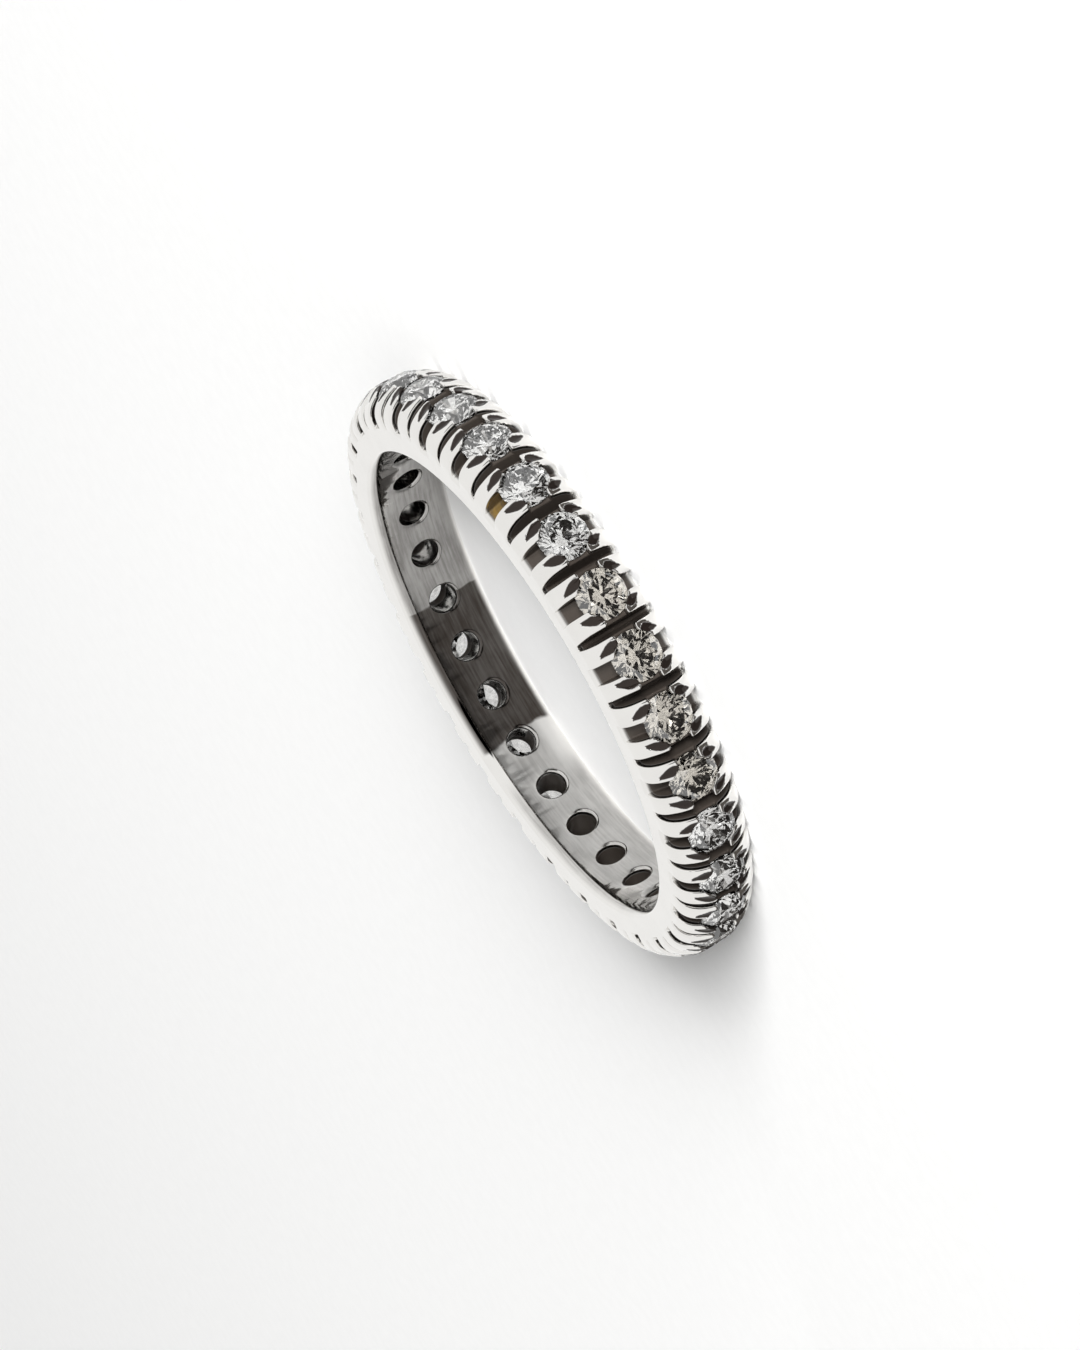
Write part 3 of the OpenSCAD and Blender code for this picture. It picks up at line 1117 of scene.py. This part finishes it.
def build_tent(studio, colours):
    """White light all round, but for the dark opening that the camera looks through. It is
    wider as the stones' facets pass it on."""
    world = bpy.data.worlds.new("light_tent")
    world.use_nodes = True
    nodes = Nodes(world.node_tree)
    softness = 0.1
    direction = nodes.add("ShaderNodeTexCoord").outputs["Generated"]
    opening = towards(studio.view_azimuth + studio.opening_aside, studio.opening_elevation)
    facing = nodes.add(
        "ShaderNodeVectorMath", {0: direction, 1: tuple(opening)}, operation="DOT_PRODUCT"
    ).outputs["Value"]
    path = nodes.add("ShaderNodeLightPath").outputs

    def dark_disc(radius):
        """1 in the opening and 0 outside it, with a soft rim."""
        outer, inner = radius * (1 + softness), radius * (1 - softness)
        return nodes.remap(facing, math.cos(outer), math.cos(inner))

    dark = nodes.mix(
        path["Is Transmission Ray"],
        dark_disc(studio.opening_radius),
        dark_disc(studio.opening_in_stones),
    )
    tent = nodes.mix(dark, colour(colours.tent_white), colour((0.0, 0.0, 0.0)))
    on_floor = studio.tent_strength * studio.tent_on_floor
    strength = nodes.remap(path["Is Diffuse Ray"], 0.0, 1.0, studio.tent_strength, on_floor)
    light = nodes.add("ShaderNodeBackground", {"Color": tent, "Strength": strength})
    nodes.add("ShaderNodeOutputWorld", {"Surface": light})
    bpy.context.scene.world = world


def soft_light(name, studio):
    """The key or the fill: a square soft box that faces the ring."""
    lamp = bpy.data.lights.new(name, "AREA")
    lamp.shape = "SQUARE"
    lamp.size = getattr(studio, name + "_size")
    lamp.energy = getattr(studio, name + "_power")
    light = add_piece(name, lamp)
    out = towards(
        studio.view_azimuth + getattr(studio, name + "_aside"), getattr(studio, name + "_elevation")
    )
    light.location = Vector((0, 0, MIDDLE)) + out * studio.light_distance
    light.rotation_mode = "QUATERNION"
    light.rotation_quaternion = out.to_track_quat("Z", "Y")
    light.visible_glossy = False
    light.visible_transmission = False


def build_camera(studio):
    """The photograph's viewing angle, with its roll."""
    film_side = 36
    azimuth, roll = studio.view_azimuth, studio.view_roll
    forward = -towards(azimuth, studio.view_elevation)
    right = Vector((-math.sin(azimuth), math.cos(azimuth), 0))
    down = forward.cross(right)
    across = math.cos(roll) * right - math.sin(roll) * down
    below = math.sin(roll) * right + math.cos(roll) * down
    centre = Vector((0, 0, MIDDLE))
    shown_x = (studio.centre_x_px - WIDTH_PX / 2) / studio.focal_px * studio.distance
    shown_y = (studio.centre_y_px - HEIGHT_PX / 2) / studio.focal_px * studio.distance
    place = centre - forward * studio.distance - across * shown_x - below * shown_y
    data = bpy.data.cameras.new("camera")
    data.sensor_fit = "VERTICAL"
    data.sensor_height = film_side
    data.sensor_width = film_side
    data.lens = studio.focal_px / HEIGHT_PX * data.sensor_height
    data.clip_start, data.clip_end = 0.01, 20
    camera = add_piece("camera", data)
    camera.matrix_world = Matrix(
        (
            (across.x, -below.x, -forward.x, place.x),
            (across.y, -below.y, -forward.y, place.y),
            (across.z, -below.z, -forward.z, place.z),
            (0, 0, 0, 1),
        )
    )
    bpy.context.scene.camera = camera


# Operators and panel


class RING_OT_finishes(bpy.types.Operator):
    """Makes the finishes of the band and the stones"""

    bl_idname = "eternity_ring.finishes"
    bl_label = "Finishes"

    def execute(self, context):
        settings = context.scene.eternity_ring
        colours = settings.colours
        hairline_group()
        zones_group(settings)
        band_material(settings)
        diamond_material("clear_diamond", colours.clear_stone)
        diamond_material("champagne_diamond", colours.champagne_stone)
        return {"FINISHED"}


class RING_OT_band(bpy.types.Operator):
    """Models the band with its claws, saw cuts, notches, seats and drilled holes"""

    bl_idname = "eternity_ring.band"
    bl_label = "Band"

    def execute(self, context):
        piece = build_band(context.scene.eternity_ring)
        piece.data.materials.append(bpy.data.materials["polished_white_gold"])
        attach(piece, "root")
        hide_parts("band")
        return {"FINISHED"}


class RING_OT_stones(bpy.types.Operator):
    """Sets a round brilliant in each seat"""

    bl_idname = "eternity_ring.stones"
    bl_label = "Brilliants"

    def execute(self, context):
        for piece, node in zip(build_stones(context.scene.eternity_ring), STONE_NODES):
            finish = "champagne_diamond" if node in CHAMPAGNE_NODES else "clear_diamond"
            piece.data.materials.append(bpy.data.materials[finish])
            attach(piece, "root")
            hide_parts(node)
        return {"FINISHED"}


class RING_OT_studio(bpy.types.Operator):
    """Sets the floor, the tent, the card, the two lights and the camera"""

    bl_idname = "eternity_ring.studio"
    bl_label = "Studio"

    def execute(self, context):
        settings = context.scene.eternity_ring
        studio, colours = settings.studio, settings.colours
        build_floor(colours)
        build_tent(studio, colours)
        build_card(studio, colours)
        for name in ("key", "fill"):
            soft_light(name, studio)
        build_camera(studio)
        context.scene.view_settings.view_transform = "Standard"
        return {"FINISHED"}


class RING_PT_panel(bpy.types.Panel):
    """Lists the steps in order"""

    bl_idname = "RING_PT_panel"
    bl_label = "Eternity ring"
    bl_space_type = "VIEW_3D"
    bl_region_type = "UI"
    bl_category = "Eternity ring"

    def draw(self, context):
        for step in OPERATORS:
            self.layout.operator(step.bl_idname)


OPERATORS = (RING_OT_finishes, RING_OT_band, RING_OT_stones, RING_OT_studio)
CLASSES = (
    BandSizes,
    StoneSizes,
    FinishColours,
    StudioSetup,
    RingSettings,
    *OPERATORS,
    RING_PT_panel,
)


def register():
    """Makes the settings, the operators and the panel known to Blender."""
    for cls in CLASSES:
        bpy.utils.register_class(cls)
    bpy.types.Scene.eternity_ring = PointerProperty(type=RingSettings)


def unregister():
    """Takes back what register adds."""
    del bpy.types.Scene.eternity_ring
    for cls in reversed(CLASSES):
        bpy.utils.unregister_class(cls)


def main():
    """Builds the ring and its studio."""
    register()
    bpy.ops.eternity_ring.finishes()
    bpy.ops.eternity_ring.band()
    bpy.ops.eternity_ring.stones()
    bpy.ops.eternity_ring.studio()
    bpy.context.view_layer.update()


if __name__ == "__main__":
    main()
